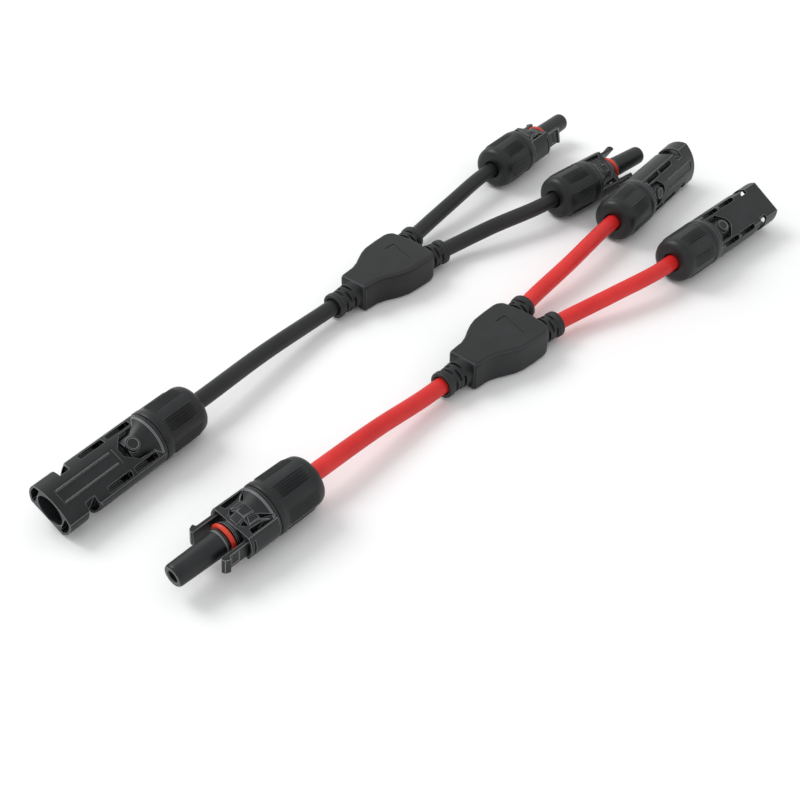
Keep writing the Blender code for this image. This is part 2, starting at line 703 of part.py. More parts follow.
def prepare(pattern):
    """Smooth a finished pattern's round faces and give its mesh one material slot."""
    mesh = pattern.data
    mesh.shade_smooth()
    mesh.set_sharp_from_angle(angle=radians(35))
    mesh.materials.clear()
    mesh.materials.append(None)
    return pattern


def make_patterns():
    """One pattern of every piece, each in its connector's or junction's own frame."""
    return {
        "plug_housing": make_plug_housing(), "socket_housing": make_socket_housing(),
        "latch_left": make_latch(1), "latch_right": make_latch(-1), "o_ring": make_o_ring(),
        "contact": make_socket_contact(), "pin": make_pin(), "seal": make_seal(),
        "collet": make_collet(), "nut": make_nut(), "wire_end": make_wire_end(),
        "overmould": make_overmould(), "splice": make_splice(), "joined_wires": make_joined_wires(),
    }


def place_connector(name, kind, frame, patterns):
    """Every piece of one connector, on an empty that carries its frame."""
    stand = bpy.data.objects.new(name, None)
    stand.matrix_world = frame
    bpy.context.scene.collection.objects.link(stand)
    pieces = [("nut", "nut", "black_plastic"), ("collet", "collet", "nylon"),
              ("seal", "seal", "grey_rubber"), ("wire_end", "wire_end", "bare_copper")]
    if kind == "plug":
        pieces += [("housing", "plug_housing", "black_plastic"), ("o_ring", "o_ring", "orange_rubber"),
                   ("contact", "contact", "tinned_copper")]
        for side, label in ((1, "left"), (-1, "right")):
            place_copy(patterns["latch_" + label], f"{name}_latch_{label}", stand,
                       "black_plastic", (LATCH_ROOT, side * latch_axis(), 0))
    else:
        pieces += [("housing", "socket_housing", "black_plastic"), ("pin", "pin", "tinned_copper")]
    for label, pattern, slot in pieces:
        place_copy(patterns[pattern], f"{name}_{label}", stand, slot)


def place_junction(colour, frame, patterns):
    """The overmould and what it holds, on an empty that carries its frame."""
    stand = bpy.data.objects.new(colour + "_junction", None)
    stand.matrix_world = frame
    bpy.context.scene.collection.objects.link(stand)
    for label, slot in (("overmould", "black_rubber"), ("splice", "tinned_copper"),
                        ("joined_wires", "bare_copper")):
        place_copy(patterns[label], f"{colour}_junction_{label}", stand, slot)


def smooth_curve(points, step):
    """Points along a smooth curve through the given ones. A stretch whose neighbours lie
    in line with it stays straight, so a cable leaves its bore along the bore's axis."""
    tangents = []
    for index, point in enumerate(points):
        before = points[max(index - 1, 0)]
        after = points[min(index + 1, len(points) - 1)]
        near = (point - before).length or 1.0
        far = (after - point).length or 1.0
        slope = (point - before) / near * far + (after - point) / far * near
        tangents.append(slope.normalized())
    curve = []
    for (start, end), (leave, arrive) in zip(zip(points, points[1:]), zip(tangents, tangents[1:])):
        long = (end - start).length
        count = max(1, round(long / step))
        for share in (number / count for number in range(count)):
            square, cube = share ** 2, share ** 3
            curve.append((2 * cube - 3 * square + 1) * start
                         + (cube - 2 * square + share) * long * leave
                         + (3 * square - 2 * cube) * end + (cube - square) * long * arrive)
    return curve + [points[-1]]


def cable_route(junction, branch, connector, middle):
    """The points that a cable follows, from inside the junction to inside the nut."""
    if branch == 0:
        inner, mouth = Vector((TRUNK_JACKET_END, 0, 0)), Vector((0, 0, 0))
    else:
        inner = branch_point(branch, BRANCH_JACKET_START)
        mouth = branch_point(branch, BRANCH_END.x)
    outside = mouth + (mouth - inner).normalized() * CABLE_RUN
    exits = [junction @ point for point in (inner, mouth, outside)]
    free = [Vector(point) * MM + LAYOUT for point in middle]
    inlet = [connector @ Vector((x, 0, 0))
             for x in (-NUT_LENGTH - CABLE_RUN, -NUT_LENGTH, JACKET_DEPTH)]
    return exits + free + inlet


def make_cable(name, route, slot):
    """A cable jacket: a round tube along its route, with filled ends."""
    points = smooth_curve(route, CABLE_STEP * 2 * CABLE_RADIUS)
    curve = bpy.data.curves.new(name, "CURVE")
    curve.dimensions = "3D"
    curve.bevel_depth = CABLE_RADIUS
    curve.bevel_resolution = 3
    curve.use_fill_caps = True
    spline = curve.splines.new("POLY")
    spline.points.add(len(points) - 1)
    for item, point in zip(spline.points, points):
        item.co = (*point, 1.0)
    tube = bpy.data.objects.new(name, curve)
    bpy.context.scene.collection.objects.link(tube)
    curve.materials.append(material(slot))


def main():
    """Build both leads."""
    clear_scene()
    patterns = {name: prepare(pattern) for name, pattern in make_patterns().items()}
    frames = {}
    for name, (kind, place, heading, roll) in CONNECTORS.items():
        frames[name] = floor_matrix(place, heading, roll, NUT_RADIUS)
        place_connector(name, kind, frames[name], patterns)
    for colour, (place, heading) in JUNCTIONS.items():
        frames[colour] = floor_matrix(place, heading, 0, JUNCTION_HEIGHT / 2)
        place_junction(colour, frames[colour], patterns)
    for name, (connector, branch, middle) in CABLES.items():
        colour = name.split("_")[0]
        route = cable_route(frames[colour], branch, frames[connector], middle)
        make_cable(name + "_cable", route, colour + "_sheath")
    for pattern in patterns.values():
        bpy.data.objects.remove(pattern, do_unlink=True)


main()
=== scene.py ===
# %% [markdown]
# # A matched pair of branch leads for solar panels
# Two Y-shaped leads lie side by side. The red one ends in a plug at its trunk and in two
# sockets at its branches, and the black one is its opposite. This lesson builds the finish
# of every piece round a fixed engineering model, which says where each piece is and how it
# moves. All lengths in the tables below are in millimetres, and MM turns them into metres.

# %% Load the engineering model
import json
from math import atan2, cos, pi, radians, sin, sqrt, tan

import bmesh
import bpy
from mathutils import Matrix, Vector


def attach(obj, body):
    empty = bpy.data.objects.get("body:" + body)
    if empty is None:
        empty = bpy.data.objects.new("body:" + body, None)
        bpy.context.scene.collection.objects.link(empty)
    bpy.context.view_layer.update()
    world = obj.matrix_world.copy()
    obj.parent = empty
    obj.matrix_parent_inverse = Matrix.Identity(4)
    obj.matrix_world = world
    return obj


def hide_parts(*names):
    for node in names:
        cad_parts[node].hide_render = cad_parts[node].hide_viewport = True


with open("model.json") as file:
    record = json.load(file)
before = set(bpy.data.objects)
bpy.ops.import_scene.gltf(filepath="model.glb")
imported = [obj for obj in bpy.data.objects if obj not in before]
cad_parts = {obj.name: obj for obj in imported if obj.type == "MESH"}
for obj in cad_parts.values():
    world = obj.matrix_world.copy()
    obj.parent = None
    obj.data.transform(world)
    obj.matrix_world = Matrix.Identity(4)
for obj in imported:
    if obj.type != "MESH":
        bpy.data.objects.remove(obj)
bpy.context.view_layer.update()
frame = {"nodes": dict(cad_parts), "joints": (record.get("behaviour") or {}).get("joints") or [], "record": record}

MM = 0.001
TO_METRES = Matrix.Scale(MM, 4)
nodes = frame["nodes"]
joints = {joint["name"]: joint for joint in frame["joints"]}
mounts = {mount["name"]: mount for mount in frame["record"]["mounts"]}

# %% [markdown]
# ## Where the pieces are
# Every connector is built once, in a frame of its own: the origin on its axis where the cap
# nut meets the housing, +X the way it mates and +Z through its top face. The model knows
# the axis, from the nut's hinge, and a point on the mating face, so the frame of each of
# the six connectors is read from those and no place is typed twice.

# %% The frame of each connector and junction
PLUGS = ["red_plug", "black_plug_a", "black_plug_b"]
SOCKETS = ["black_socket", "red_socket_a", "red_socket_b"]
JUNCTION_TURN = {"red": 0.0, "black": 2.2}       # heading in degrees
JUNCTION_MIDDLE = 38.0                           # the underside's point, along the junction
JUNCTION_HALF_HEIGHT = 6.0
FACE_POINT_BELOW = 45.0                          # degrees below +Y, to the socket face's point


def connector_frame(name):
    """Origin from the nut's hinge, +X against its axis, +Y towards the mating face's point."""
    hinge = joints[name + "_nut_turn"]
    origin, ahead = Vector(hinge["pos_m"]), -Vector(hinge["axis"]).normalized()
    is_plug = name in PLUGS
    face = Vector(mounts[name + ("_probe_tip" if is_plug else "_front_face")]["pos_m"]) - origin
    aside = (face - face.dot(ahead) * ahead).normalized()
    if not is_plug:
        aside = Matrix.Rotation(radians(FACE_POINT_BELOW), 3, ahead) @ aside
    above = ahead.cross(aside)
    turn = Matrix((ahead, aside, above)).transposed().to_4x4()
    return Matrix.Translation(origin) @ turn


def junction_frame(colour):
    """The trunk boot's end, on the axis, with +X towards the branches."""
    turn = Matrix.Rotation(radians(JUNCTION_TURN[colour]), 4, "Z")
    under = Vector(mounts[colour + "_junction_underside"]["pos_m"])
    back = turn @ Vector((-JUNCTION_MIDDLE, 0.0, JUNCTION_HALF_HEIGHT)) * MM
    return Matrix.Translation(under + back) @ turn


frames = {name: connector_frame(name) for name in PLUGS + SOCKETS}
frames.update({colour: junction_frame(colour) for colour in JUNCTION_TURN})
for name, where in frames.items():
    print(name, "frame at", tuple(round(c, 3) for c in where.translation))

# %% [markdown]
# ## The camera
# A product picture of something this small is taken from about 40 cm away, looking down at
# a little over 40 degrees. The camera comes first, because the room that the cables may
# take is measured in its view.

# %% Camera
LAYOUT_SHIFT = Vector(mounts["red_junction_underside"]["pos_m"]) - Vector((48.2, -10.1, 0.0)) * MM
CAMERA_PLACE = Vector((-227.4, -212.0, 275.0)) * MM + LAYOUT_SHIFT
CAMERA_AIM = LAYOUT_SHIFT.copy()

camera_data = bpy.data.cameras.new("camera")
camera_data.sensor_width = 36.0
camera_data.lens = 52.9
camera_data.clip_start = 0.01
camera = bpy.data.objects.new("camera", camera_data)
camera.location = CAMERA_PLACE
camera.rotation_euler = (CAMERA_AIM - CAMERA_PLACE).to_track_quat("-Z", "Y").to_euler()
bpy.context.scene.collection.objects.link(camera)
bpy.context.scene.camera = camera
print("camera", tuple(round(c, 3) for c in camera.location))

# %% [markdown]
# ## Finishes
# Nylon housings come out of a spark-eroded mould, so their skin is charcoal rather than
# black, with a very fine grain and a soft sheen that changes a little from place to place.
# Each finish is a few nodes: a large noise that shifts colour and gloss, and a small one
# that is only felt as bump. Both are read in Object coordinates, in metres. Edges that were
# rounded carry an attribute named rim, which gives the moulded blacks a lighter edge: a
# painted highlight along every rounded edge.

# %% A maker of moulded and metal finishes
SHEEN = 0.36                     # specular level of the plastics


def finish(name, dark, light, rough, grain, depth, metallic=0.0, patch=90.0, stretch=(1, 1, 1), rim=None):
    """Colour drifts from dark to light over patches, gloss with it, over a fine bump."""
    new = bpy.data.materials.new(name)
    new.use_nodes = True
    tree = new.node_tree
    shader = tree.nodes["Principled BSDF"]
    shader.inputs["Metallic"].default_value = metallic
    shader.inputs["Specular IOR Level"].default_value = 0.5 if metallic else SHEEN
    place = tree.nodes.new("ShaderNodeTexCoord")
    large = tree.nodes.new("ShaderNodeTexNoise")
    large.inputs["Scale"].default_value = patch
    large.inputs["Detail"].default_value = 6.0
    large.inputs["Roughness"].default_value = 0.62
    tree.links.new(place.outputs["Object"], large.inputs["Vector"])
    colour = tree.nodes.new("ShaderNodeValToRGB")
    colour.color_ramp.elements[0].position = 0.34
    colour.color_ramp.elements[1].position = 0.68
    colour.color_ramp.elements[0].color = (*dark, 1.0)
    colour.color_ramp.elements[1].color = (*light, 1.0)
    tree.links.new(large.outputs["Fac"], colour.inputs["Fac"])
    # Faces marked by the rim attribute are mixed towards the rim colour, a painted highlight on the rounded edges.
    if rim:
        painted_rim_highlight = tree.nodes.new("ShaderNodeMixRGB")
        painted_rim_highlight.inputs["Color2"].default_value = (*rim, 1.0)
        edge = tree.nodes.new("ShaderNodeAttribute")
        edge.attribute_name = "rim"
        tree.links.new(edge.outputs["Fac"], painted_rim_highlight.inputs["Fac"])
        tree.links.new(colour.outputs["Color"], painted_rim_highlight.inputs["Color1"])
        tree.links.new(painted_rim_highlight.outputs["Color"], shader.inputs["Base Color"])
    else:
        tree.links.new(colour.outputs["Color"], shader.inputs["Base Color"])
    gloss = tree.nodes.new("ShaderNodeMapRange")
    gloss.inputs["To Min"].default_value = rough[0]
    gloss.inputs["To Max"].default_value = rough[1]
    tree.links.new(large.outputs["Fac"], gloss.inputs["Value"])
    tree.links.new(gloss.outputs["Result"], shader.inputs["Roughness"])
    turn = tree.nodes.new("ShaderNodeMapping")
    turn.inputs["Scale"].default_value = stretch
    tree.links.new(place.outputs["Object"], turn.inputs["Vector"])
    fine = tree.nodes.new("ShaderNodeTexNoise")
    fine.inputs["Scale"].default_value = grain
    fine.inputs["Detail"].default_value = 3.0
    tree.links.new(turn.outputs["Vector"], fine.inputs["Vector"])
    bump = tree.nodes.new("ShaderNodeBump")
    bump.inputs["Strength"].default_value = 0.5
    bump.inputs["Distance"].default_value = depth
    tree.links.new(fine.outputs["Fac"], bump.inputs["Height"])
    tree.links.new(bump.outputs["Normal"], shader.inputs["Normal"])
    return new


# The rim colours of the two moulded blacks are painted highlights on their rounded edges.
FINISHES = {
    "black_plastic": finish("charcoal_nylon", (0.0065, 0.0075, 0.0082), (0.0145, 0.0160, 0.0170),
                            (0.33, 0.47), 2600.0, 0.000035, rim=(0.19, 0.195, 0.20)),
    "black_rubber": finish("charcoal_overmould", (0.0075, 0.0082, 0.0090), (0.0150, 0.0160, 0.0172),
                           (0.40, 0.54), 1800.0, 0.00005, rim=(0.045, 0.048, 0.050)),
    "red_sheath": finish("red_sheath", (0.58, 0.013, 0.013), (0.70, 0.026, 0.022),
                         (0.36, 0.48), 900.0, 0.00003, patch=45.0),
    "black_sheath": finish("black_sheath", (0.0080, 0.0085, 0.0092), (0.0170, 0.0178, 0.0188),
                           (0.36, 0.50), 900.0, 0.00003, patch=45.0),
    "orange_rubber": finish("orange_silicone", (0.42, 0.018, 0.010), (0.66, 0.060, 0.022),
                            (0.30, 0.42), 1500.0, 0.00002, patch=160.0),
    "grey_rubber": finish("grey_gland_rubber", (0.060, 0.060, 0.060), (0.10, 0.10, 0.10),
                          (0.55, 0.68), 1500.0, 0.00004),
    "nylon": finish("clamp_nylon", (0.030, 0.030, 0.034), (0.045, 0.045, 0.050),
                    (0.40, 0.52), 2200.0, 0.00003),
    "tinned_copper": finish("tin_plate", (0.70, 0.69, 0.66), (0.82, 0.81, 0.78),
                            (0.18, 0.34), 3000.0, 0.00001, metallic=1.0, patch=220.0),
    "bare_copper": finish("copper_strands", (0.62, 0.27, 0.14), (0.80, 0.40, 0.22),
                          (0.26, 0.40), 2600.0, 0.00006, metallic=1.0, patch=220.0,
                          stretch=(0.08, 1, 1)),
}
print("finishes", sorted(FINISHES))

# %% [markdown]
# ## Cables
# Each cable is a round sheath over a copper core, and it is the one flexible thing here. It
# is drawn as a curve with a round bevel: a curve keeps its section wherever it bends, and
# its own line is its length. The route leaves each boot and nut straight along its bore and
# passes one chosen point between them, a little above the table, as a short stiff cable
# does between two thicker ends.

# %% The route of a cable
CABLE_RADIUS = 3.1
NUT_LENGTH = 20.5
CABLE_RUN = 6.0                  # straight length just outside a boot or a nut
JACKET_DEPTH = 0.9               # how far the sheath reaches past the seam, inside the tube
TRUNK_JACKET_END = 17.0
BRANCH_JACKET_START = 40.0
BRANCH_SLOPE = tan(radians(9.0))
BRANCH_END = (56.2, 7.7)
CURVE_STEP = 1.6 * MM
CABLES = {
    "red_trunk": ("red_plug", 0, (-22.0, -10.4, 8.2)),
    "red_branch_a": ("red_socket_a", 1, (98.0, 0.4, 8.0)),
    "red_branch_b": ("red_socket_b", -1, (94.0, -24.4, 8.0)),
    "black_trunk": ("black_socket", 0, (-22.0, 46.8, 8.2)),
    "black_branch_a": ("black_plug_a", 1, (101.0, 64.0, 8.0)),
    "black_branch_b": ("black_plug_b", -1, (97.0, 39.6, 8.0)),
}


def branch_point(side, x):
    """A point on a branch's axis, in the junction's frame, in millimetres."""
    return Vector((x, side * (BRANCH_END[1] - (BRANCH_END[0] - x) * BRANCH_SLOPE), 0.0))


def smooth_curve(points, step):
    """Points along a smooth curve through the given ones, straight where they are in line."""
    tangents = []
    for index, point in enumerate(points):
        before, after = points[max(index - 1, 0)], points[min(index + 1, len(points) - 1)]
        near, far = (point - before).length or 1.0, (after - point).length or 1.0
        tangents.append(((point - before) / near * far + (after - point) / far * near).normalized())
    curve = []
    for start, end, leave, arrive in zip(points, points[1:], tangents, tangents[1:]):
        long = (end - start).length
        count = max(1, round(long / step))
        for share in (number / count for number in range(count)):
            square, cube = share ** 2, share ** 3
            curve.append((2 * cube - 3 * square + 1) * start
                         + (cube - 2 * square + share) * long * leave
                         + (3 * square - 2 * cube) * end + (cube - square) * long * arrive)
    return curve + [points[-1]]


def cable_route(name):
    """From inside the junction to inside the nut, and the point where it leaves the boot."""
    connector, branch, middle = CABLES[name]
    junction = frames[name.split("_")[0]]
    if branch == 0:
        inner, mouth = Vector((TRUNK_JACKET_END, 0, 0)), Vector((0, 0, 0))
    else:
        inner, mouth = branch_point(branch, BRANCH_JACKET_START), branch_point(branch, BRANCH_END[0])
    outside = mouth + (mouth - inner).normalized() * CABLE_RUN
    exits = [junction @ (point * MM) for point in (inner, mouth, outside)]
    inlet = [frames[connector] @ Vector((x * MM, 0, 0))
             for x in (-NUT_LENGTH - CABLE_RUN, -NUT_LENGTH, JACKET_DEPTH)]
    return exits + [Vector(middle) * MM + LAYOUT_SHIFT] + inlet, exits[1]


# %% Draw the six cables
def lay_cable(name):
    """One sheath, drawn along its route at the cable's diameter."""
    route, leaving = cable_route(name)
    points = smooth_curve(route, CURVE_STEP)
    curve = bpy.data.curves.new(name + "_sheath", "CURVE")
    curve.dimensions = "3D"
    curve.bevel_depth = CABLE_RADIUS * MM
    curve.bevel_resolution = 9
    curve.use_fill_caps = True
    spline = curve.splines.new("POLY")
    spline.points.add(len(points) - 1)
    for item, point in zip(spline.points, points):
        item.co = (*point, 1.0)
    spline.use_smooth = True
    sheath = bpy.data.objects.new(name + "_sheath", curve)
    bpy.context.scene.collection.objects.link(sheath)
    colour = name.split("_")[0]
    curve.materials.append(FINISHES[colour + "_sheath"])
    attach(sheath, colour + "_lead")
    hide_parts(name + "_cable")


for name in CABLES:
    lay_cable(name)

# %% [markdown]
# ## Tools for moulded pieces
# Almost every piece of a connector is turned about its axis, or pushed straight through an
# outline, and then joined to others or hollowed. So four small tools do nearly all the
# work: a spin, a push, a Boolean, and a bevel that rounds every sharp edge by about a tenth
# of a millimetre. That last one matters most: moulded edges are never sharp, and it is
# their thin bright lines that make dark plastic readable. The faces that the bevel makes are
# also marked, and the moulded blacks paint them lighter, a painted highlight.

# %% Spin, push, join, cut and soften
def solid(name, bm):
    """A finished bmesh becomes an object, its doubles merged and its faces pointing out."""
    bmesh.ops.remove_doubles(bm, verts=bm.verts, dist=1e-4)
    bmesh.ops.recalc_face_normals(bm, faces=bm.faces)
    mesh = bpy.data.meshes.new(name)
    bm.to_mesh(mesh)
    bm.free()
    thing = bpy.data.objects.new(name, mesh)
    bpy.context.scene.collection.objects.link(thing)
    return thing


def spun_mesh(profile, steps):
    """A bmesh turned about X from (x, radius) points, full if they start and end on X."""
    bm = bmesh.new()
    points = [bm.verts.new((x, 0.0, radius)) for x, radius in profile]
    full = profile[0][1] == 0.0 and profile[-1][1] == 0.0
    following = points[1:] if full else points[1:] + points[:1]
    edges = [bm.edges.new(pair) for pair in zip(points, following)]
    bmesh.ops.spin(bm, geom=points + edges, cent=(0, 0, 0), axis=(1, 0, 0),
                   angle=2 * pi, steps=steps, use_merge=True)
    return bm


def spun(profile, steps=72):
    return solid("spun", spun_mesh(profile, steps))


def pushed(outline, direction):
    """A flat outline of points, extruded along a direction."""
    bm = bmesh.new()
    face = bm.faces.new([bm.verts.new(point) for point in outline])
    grown = bmesh.ops.extrude_face_region(bm, geom=[face])
    moved = [item for item in grown["geom"] if isinstance(item, bmesh.types.BMVert)]
    bmesh.ops.translate(bm, verts=moved, vec=direction)
    return solid("pushed", bm)


def standing(outline, low, high):
    """A prism on an (x, y) outline."""
    return pushed([(x, y, low) for x, y in outline], (0, 0, high - low))


def along(outline, rear, front):
    """A prism on a (y, z) outline, running along X."""
    return pushed([(rear, y, z) for y, z in outline], (front - rear, 0, 0))


def box(x, y, z):
    return standing([(x[0], y[0]), (x[1], y[0]), (x[1], y[1]), (x[0], y[1])], *z)


def apply_modifiers(thing):
    """Keep what the modifiers make as the thing's own mesh."""
    bpy.context.view_layer.update()
    seen = thing.evaluated_get(bpy.context.evaluated_depsgraph_get())
    result = bpy.data.meshes.new_from_object(seen)
    thing.modifiers.clear()
    thing.data = result
    return thing


def combine(base, operation, tools):
    for tool in tools:
        step = base.modifiers.new("step", "BOOLEAN")
        step.operation = operation
        step.solver = "EXACT"
        step.object = tool
    apply_modifiers(base)
    for tool in tools:
        bpy.data.objects.remove(tool, do_unlink=True)
    return base


def joined(base, *tools):
    return combine(base, "UNION", tools)


def cut(base, *tools):
    return combine(base, "DIFFERENCE", tools)


# The rounded edges' faces become the rim attribute, which the moulded blacks paint lighter as a painted highlight.
RIM = 1                          # the material index that the rounded edges get
MERGE = 0.02
ROUND = 0.10                     # the bevel's width on the housings and the junctions
ROUND_STEPS = 2


def tidy(thing, merge):
    """Merge close points and dissolve flat edges, so that the bevel finds no tiny ones."""
    bm = bmesh.new()
    bm.from_mesh(thing.data)
    bmesh.ops.remove_doubles(bm, verts=bm.verts, dist=merge)
    bmesh.ops.dissolve_limit(bm, angle_limit=radians(1.0), verts=bm.verts, edges=bm.edges)
    bm.to_mesh(thing.data)
    bm.free()


def soften(thing, width=ROUND, angle=32, merge=MERGE):
    """Round every edge sharper than an angle, and mark the faces that this makes for the painted highlight."""
    tidy(thing, merge)
    thing.data.materials.clear()
    for name in ("skin", "rim"):
        thing.data.materials.append(bpy.data.materials.get(name) or bpy.data.materials.new(name))
    thing.data.polygons.foreach_set("material_index", [0] * len(thing.data.polygons))
    round_over = thing.modifiers.new("round", "BEVEL")
    round_over.material = RIM
    round_over.width = width
    round_over.segments = ROUND_STEPS
    round_over.limit_method = "ANGLE"
    round_over.angle_limit = radians(angle)
    round_over.use_clamp_overlap = False
    round_over.miter_outer = "MITER_ARC"
    return apply_modifiers(thing)


def both(make):
    """The same shape for the left side and the right side."""
    return [make(side) for side in (1, -1)]


def clipped_circle(radius, half, steps=16):
    """A circle between two heights, as (y, z) points."""
    reach = atan2(half, sqrt(radius ** 2 - half ** 2))
    angles = [-reach + 2 * reach * step / steps for step in range(steps + 1)]
    right = [(radius * cos(angle), radius * sin(angle)) for angle in angles]
    return right + [(-y, z) for y, z in reversed(right)]


# %% Put a copy of a pattern where a node of the model is
SMOOTH_UNDER = radians(34)


def place(pattern, name, where, body, node, slot):
    """The pattern's mesh, moved into place, riding on a body and standing for a node."""
    mesh = pattern.data.copy()
    mesh.transform(where @ TO_METRES)
    mesh.shade_smooth()
    mesh.set_sharp_from_angle(angle=SMOOTH_UNDER)
    # The rim attribute marks the bevel's faces, which the finish paints lighter as a painted highlight.
    rim = mesh.attributes.new("rim", "FLOAT", "FACE")
    rim.data.foreach_set("value", [float(face.material_index == RIM) for face in mesh.polygons])
    mesh.polygons.foreach_set("material_index", [0] * len(mesh.polygons))
    mesh.materials.clear()
    mesh.materials.append(FINISHES[slot])
    piece = bpy.data.objects.new(name, mesh)
    bpy.context.scene.collection.objects.link(piece)
    even = piece.modifiers.new("even_shading", "WEIGHTED_NORMAL")
    even.keep_sharp = True
    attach(piece, body)
    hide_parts(node)


def place_on(names, pattern, part, slot, body_of):
    """One copy of a pattern on each named connector."""
    for name in names:
        place(pattern, f"{name}_{part}_shown", frames[name], body_of(name), f"{name}_{part}", slot)
    faces = len(pattern.data.polygons)
    bpy.data.objects.remove(pattern, do_unlink=True)
    print(part, "on", len(names), "places,", faces, "faces each")


def lead_of(name):
    return name.split("_")[0] + "_lead"


# %% [markdown]
# ## Cap nuts
# A cap nut is a barrel with a rounded rear end. Six groups of fine ribs give the fingers
# something to hold, with smooth land between them. It is spun from its section in one-degree
# steps, and then the ribs are raised by moving the skin outwards where a rib runs, fading
# out at both ends, as a cutter leaves them in the mould.

# %% The nut's skin and ribs
NUT_GROUPS = 6
RIBS_IN_GROUP = 6
RIB_DEGREES = 6                  # from one rib to the next
RIB_SHAPE = (0.0, 0.35, 1.0, 1.0, 0.35, 0.0)
RIB_HEIGHT = 0.40
RIB_STOPS = ((-17.0, 0.0), (-15.2, 1.0), (-4.4, 1.0), (-3.6, 0.0))
NUT_STEPS = 360
NUT_BORE = 7.4
SKIN_FROM = 9.0                  # points nearer the axis than this are the nut's inside


def rib_strength(x):
    """How much of a rib's height is left at a place along the nut."""
    for (start, low), (end, high) in zip(RIB_STOPS, RIB_STOPS[1:]):
        if start <= x <= end:
            return low + (high - low) * (x - start) / (end - start)
    return 0.0


def make_nut():
    bm = spun_mesh([
        (-0.3, NUT_BORE), (-0.3, 9.06), (-0.38, 9.28), (-0.56, 9.42), (-0.85, 9.5), (-2.5, 9.5),
        (-2.75, 9.42), (-2.95, 9.22), (-3.6, 9.13), (-4.4, 9.1), (-8.0, 9.08), (-12.0, 9.06),
        (-15.2, 9.03), (-17.0, 8.98), (-17.7, 8.92), (-18.5, 8.72), (-19.2, 8.36), (-19.75, 7.84),
        (-20.15, 7.2), (-20.4, 6.5), (-20.5, 5.8), (-20.5, 4.05), (-20.4, 3.8), (-20.15, 3.66),
        (-19.8, 3.6), (-18.3, 3.6), (-17.2, 5.6), (-13.0, 5.6), (-13.0, NUT_BORE),
    ], NUT_STEPS)
    group = 360 // NUT_GROUPS
    for vert in bm.verts:
        radius = sqrt(vert.co.y ** 2 + vert.co.z ** 2)
        strength = rib_strength(vert.co.x)
        if radius < SKIN_FROM or not strength:
            continue
        degree = round(atan2(vert.co.y, vert.co.z) * 180 / pi) % group
        if degree < RIBS_IN_GROUP * RIB_DEGREES:
            grow = 1 + RIB_HEIGHT * strength * RIB_SHAPE[degree % RIB_DEGREES] / radius
            vert.co.y *= grow
            vert.co.z *= grow
    return solid("nut", bm)


# %% The thread, and the nut put in place
THREAD_PITCH = 2.0
THREAD_SINK = 0.08               # how far a ridge's foot is sunk into its wall
STEPS_A_TURN = 40


def helix(root, crest, start, turns, base, land):
    """A thread's ridge: its section spun and moved on along X at each step."""
    bm = bmesh.new()
    sink = THREAD_SINK if crest > root else -THREAD_SINK
    section = [(-base / 2, root - sink), (-land / 2, crest), (land / 2, crest),
               (base / 2, root - sink)]
    face = bm.faces.new([bm.verts.new((start + x, 0.0, radius)) for x, radius in section])
    bmesh.ops.spin(bm, geom=[face, *face.edges, *face.verts], cent=(0, 0, 0), axis=(1, 0, 0),
                   dvec=(THREAD_PITCH / STEPS_A_TURN, 0, 0), angle=2 * pi * turns,
                   steps=round(STEPS_A_TURN * turns))
    return solid("helix", bm)


nut = joined(make_nut(), helix(NUT_BORE, 6.92, -11.6, 5, 0.9, 0.3))
place_on(PLUGS + SOCKETS, nut, "nut", "black_plastic", lambda name: name + "_nut_body")

# %% [markdown]
# ## What both housings share
# Behind the seam a housing is a threaded tube, and in front of it a round flange falls away
# in a cone to a slimmer barrel. The section below is turned for both. The thread is a real
# helix, half a pitch out of step with the one inside the nut, so the two run in mesh.

# %% The turned core and its thread
THREAD_LENGTH = 11.5
THREAD_ROOT = 6.45
THREAD_CREST = 7.08
TUBE_BORE = 5.4
FLANGE = 9.2
NECK = 7.3                       # passes into the nut's mouth with 0.1 mm to spare
CONTACT_RADIUS = 2.45
GAP = 0.3
BORE_STEPS = 48                  # round a contact, or round a bore


def core_profile(cone_end, barrel):
    """From the tube's end to where the barrel begins."""
    return [
        (-THREAD_LENGTH, 0.0), (-THREAD_LENGTH, THREAD_ROOT - 0.3),
        (-THREAD_LENGTH + 0.3, THREAD_ROOT),
        (-0.6, THREAD_ROOT), (-0.6, NECK), (0.0, NECK), (0.0, FLANGE),
        (1.25, FLANGE), (1.3, FLANGE - 0.22), (1.65, FLANGE - 0.22), (1.7, FLANGE - 0.35),
        (cone_end, barrel),
    ]


def rear_bore():
    """The hollow for the seal and the crimp barrel."""
    return [(-THREAD_LENGTH - 1, 0.0), (-THREAD_LENGTH - 1, TUBE_BORE), (0.0, TUBE_BORE), (0.0, 3.5),
            (9.5, 3.5), (9.5, CONTACT_RADIUS + GAP)]


def tube_thread():
    return helix(THREAD_ROOT, THREAD_CREST, -10.6, 4.5, 1.0, 0.35)


# %% [markdown]
# ## The plug's housing
# The plug is the busiest moulding. A shroud like a flattened drum stands round the barrel,
# open at the front, and its top and bottom are cut away to thin ribs: a long pocket over
# each latch arm, and a hollow round the cone. A flat-sided collar sits on the barrel with
# a ramp down to the mouth. It is carved from simple solids, as the mould's steel is.

# %% Carve the shroud
PLUG_FRONT = 12.4
PROBE_TIP = 35.2
SHROUD_RADIUS = 9.38
SHROUD_HALF = 5.2
RING_PLACE = 15.2
RING_SEAT = 3.55
LATCH_INNER = 6.3
LATCH_THICK = 1.3
LATCH_HALF = 3.25


